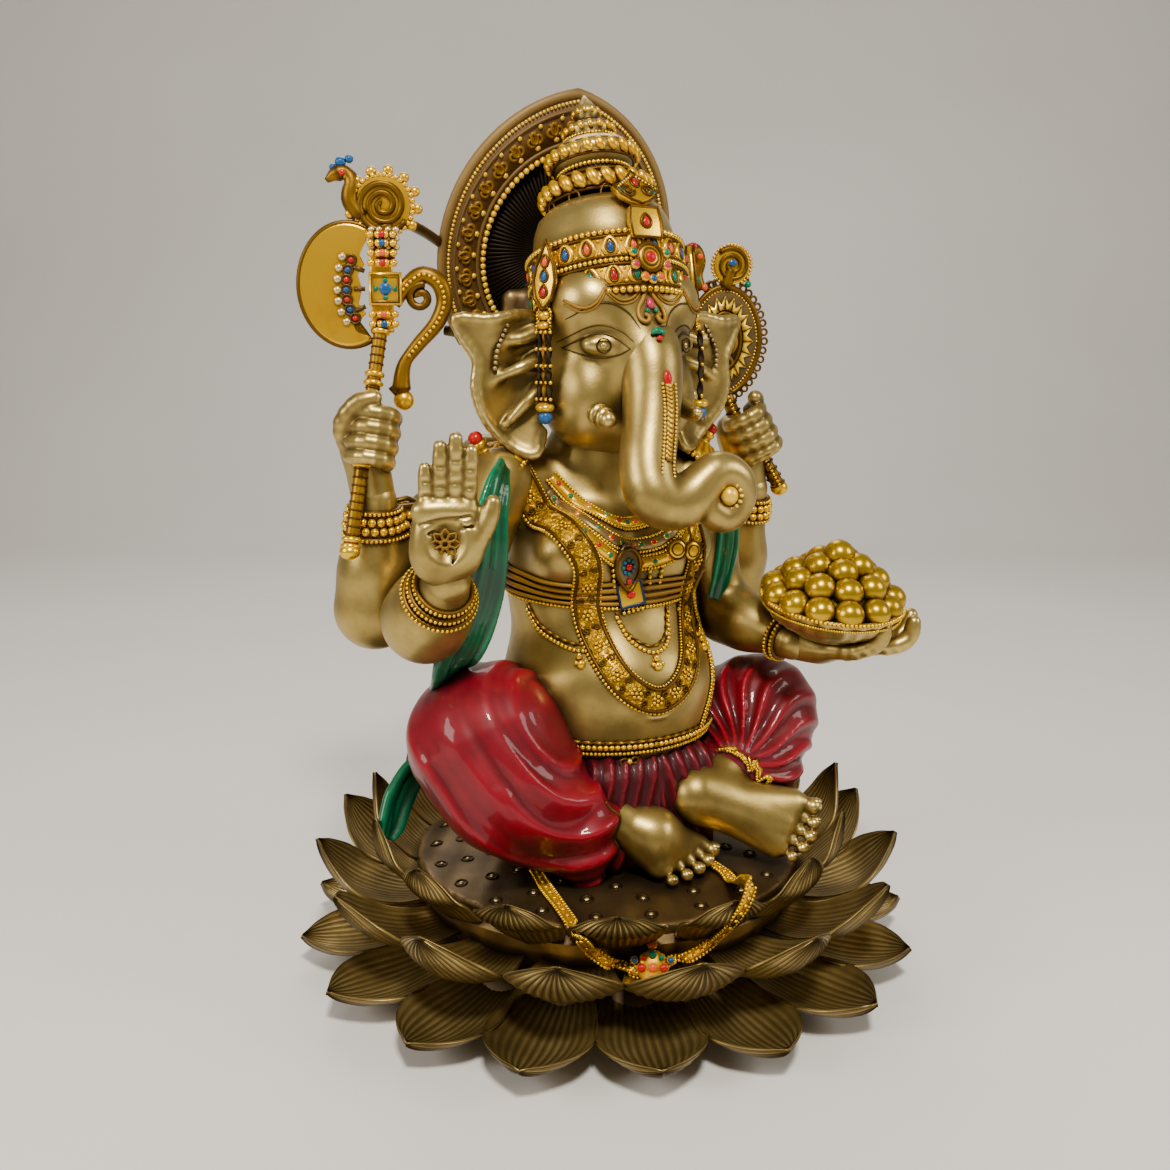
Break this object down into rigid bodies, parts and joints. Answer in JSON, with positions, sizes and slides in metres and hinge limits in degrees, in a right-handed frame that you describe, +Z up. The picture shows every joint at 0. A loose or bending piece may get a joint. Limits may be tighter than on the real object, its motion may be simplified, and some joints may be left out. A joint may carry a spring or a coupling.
{
  "type": "ganesha idol",
  "caption": "Elephant-headed deity seated cross-legged on a double lotus, with a crown, halo, axe, noose, bowl of sweets and draped garments, cast and painted.",
  "frame": {"origin": "centre of the felt pad's underside, on the surface the idol stands on", "axes": "+Z up through the crown, -Y the way the face looks, -X the figure's own right hand"},
  "size_m": [0.2906, 0.2901, 0.3994],
  "materials": {
    "bronze": "cast resin with brushed antique-gold paint and dark patina in the hollows",
    "gold": "cast resin with bright gold paint",
    "crimson": "cast resin with glossy crimson enamel",
    "emerald": "cast resin with glossy emerald enamel",
    "jewel": "cast resin painted as inlaid stones",
    "felt": "napped felt"
  },
  "bodies": {
    "root": {"axe_blade": "gold", "axe_finial": "gold", "axe_hook": "gold", "axe_shaft": "gold", "bangles": "gold", "bowl": "bronze", "bowl_sweets": "gold", "chest_band": "gold", "chest_pendant": "jewel", "chest_sash": "gold", "collar": "gold", "crown_band": "gold", "crown_crest": "gold", "crown_dome": "bronze", "crown_finial": "bronze", "crown_tiers": "bronze", "ear_tie_bar": "bronze", "felt_pad": "felt", "front_left_arm": "bronze", "front_left_hand": "bronze", "front_pleats": "crimson", "front_right_arm": "bronze", "front_right_hand": "bronze", "halo": "gold", "halo_bracket": "bronze", "halo_tie_bar": "bronze", "head": "bronze", "left_ear": "bronze", "left_ear_tassel": "gold", "left_epaulette": "gold", "left_foot": "bronze", "left_leg": "crimson", "left_seat_strap": "gold", "left_shawl": "emerald", "left_tusk": "bronze", "lotus_core": "bronze", "lotus_petals_lower": "bronze", "lotus_petals_middle": "bronze", "lotus_petals_upper": "bronze", "noose_finial": "gold", "noose_handle": "gold", "noose_ring": "gold", "rear_left_arm": "bronze", "rear_left_hand": "bronze", "rear_right_arm": "bronze", "rear_right_hand": "bronze", "right_ear": "bronze", "right_ear_tassel": "gold", "right_epaulette": "gold", "right_foot": "bronze", "right_leg": "crimson", "right_seat_strap": "gold", "right_shawl": "emerald", "right_tusk": "bronze", "seat_pendant": "jewel", "shawl_tail": "emerald", "torso": "bronze", "trunk": "bronze", "trunk_sweet": "gold", "waist_belt": "gold"}
  },
  "joints": []
}
